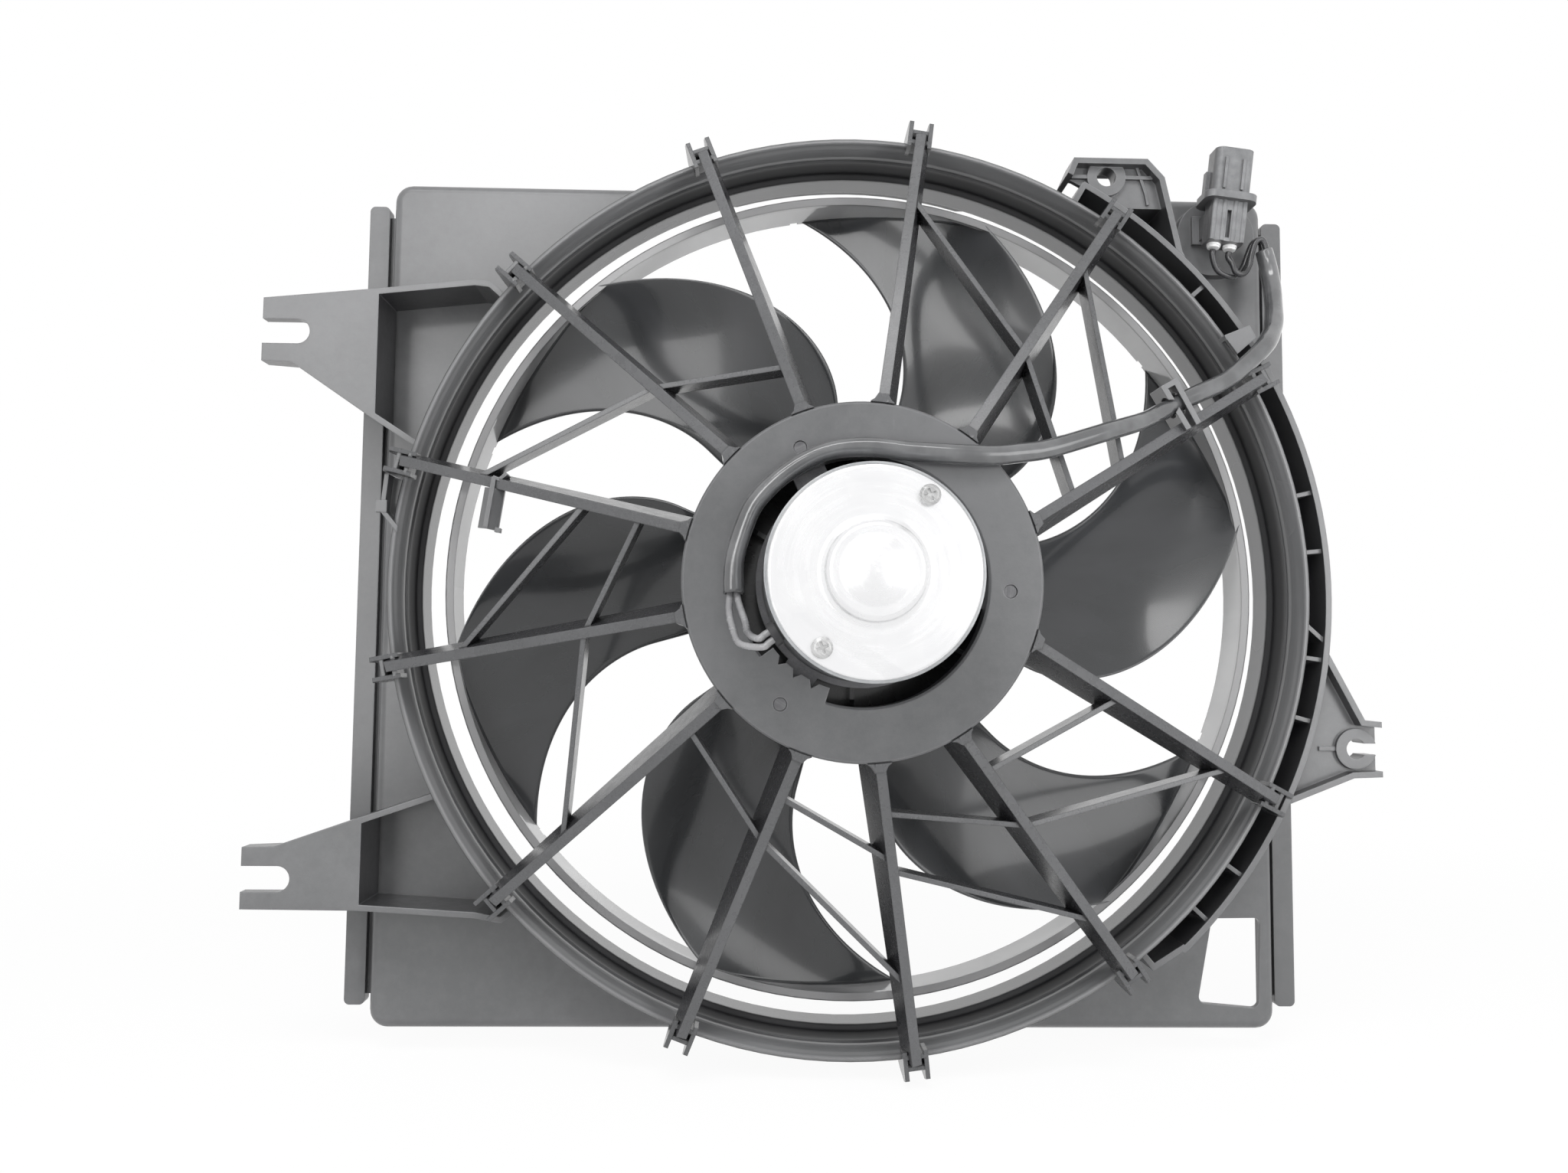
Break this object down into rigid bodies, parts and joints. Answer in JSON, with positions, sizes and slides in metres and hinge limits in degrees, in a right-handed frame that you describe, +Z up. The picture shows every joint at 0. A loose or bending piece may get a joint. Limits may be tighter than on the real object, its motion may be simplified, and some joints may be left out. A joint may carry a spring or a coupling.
{
  "type": "radiator cooling fan",
  "caption": "Electric radiator cooling fan: swept blades with an outer band, a brushed motor on slanted spokes, and a moulded ducted shroud with ears, lead and connector.",
  "frame": {"origin": "on the fan axis, in the plane of the two rails that rest on the radiator", "axes": "+X to the right seen from the engine, +Y along the fan axis towards the radiator, +Z up; the engine side faces -Y"},
  "size_m": [0.4805, 0.148, 0.4007],
  "materials": {
    "shroud_plastic": "moulded, slight sheen",
    "fan_plastic": "moulded, satin",
    "zinc_plated_steel": "satin",
    "cap_steel": "bright, fine turned grain",
    "ferrite": "matte",
    "bearing_bronze": "satin",
    "phenolic_board": "matte",
    "brass_sheet": "satin",
    "carbon": "matte",
    "spring_steel": "satin",
    "plated_screws": "satin",
    "black_rubber": "matte",
    "wire_jacket": "satin",
    "sleeve_plastic": "shiny, soft",
    "connector_plastic": "satin",
    "tinned_brass": "bright",
    "white_silicone": "satin",
    "insert_steel": "satin",
    "shaft_steel": "ground",
    "lamination_steel": "satin",
    "copper_wire": "enamelled",
    "copper_bars": "bright",
    "phenolic_washers": "matte"
  },
  "bodies": {
    "shroud": {"shroud_tray": "shroud_plastic", "duct_ring": "shroud_plastic", "trough_wall": "shroud_plastic", "upper_left_ear": "shroud_plastic", "lower_left_ear": "shroud_plastic", "keyhole_ear": "shroud_plastic", "upper_right_lug": "shroud_plastic", "motor_plate": "shroud_plastic", "spokes": "shroud_plastic", "spoke_braces": "shroud_plastic", "spoke_feet": "shroud_plastic", "lead_guides": "shroud_plastic", "motor_can": "zinc_plated_steel", "end_cap": "cap_steel", "motor_flange": "zinc_plated_steel", "magnets": "ferrite", "front_bearing": "bearing_bronze", "rear_bearing": "bearing_bronze", "brush_plate": "phenolic_board", "brush_holders": "brass_sheet", "brushes": "carbon", "brush_springs": "spring_steel", "tie_bolts": "plated_screws", "flange_screws": "plated_screws", "lead_grommet": "black_rubber", "motor_wires": "wire_jacket", "lead_sleeve": "sleeve_plastic", "connector_wires": "wire_jacket", "connector_housing": "connector_plastic", "connector_terminals": "tinned_brass", "wire_seals": "white_silicone", "connector_clip": "connector_plastic"},
    "fan": {"fan_hub": "fan_plastic", "fan_blades": "fan_plastic", "fan_band": "fan_plastic", "hub_insert": "insert_steel", "fan_washer": "plated_screws", "fan_nut": "plated_screws", "motor_shaft": "shaft_steel", "armature_core": "lamination_steel", "armature_winding": "copper_wire", "commutator": "copper_bars", "thrust_washers": "phenolic_washers"}
  },
  "joints": [
    {"name": "fan_spin", "type": "hinge", "parent": "shroud", "child": "fan", "pos_m": [0, 0, 0], "axis": [0, -1, 0], "continuous": true}
  ]
}
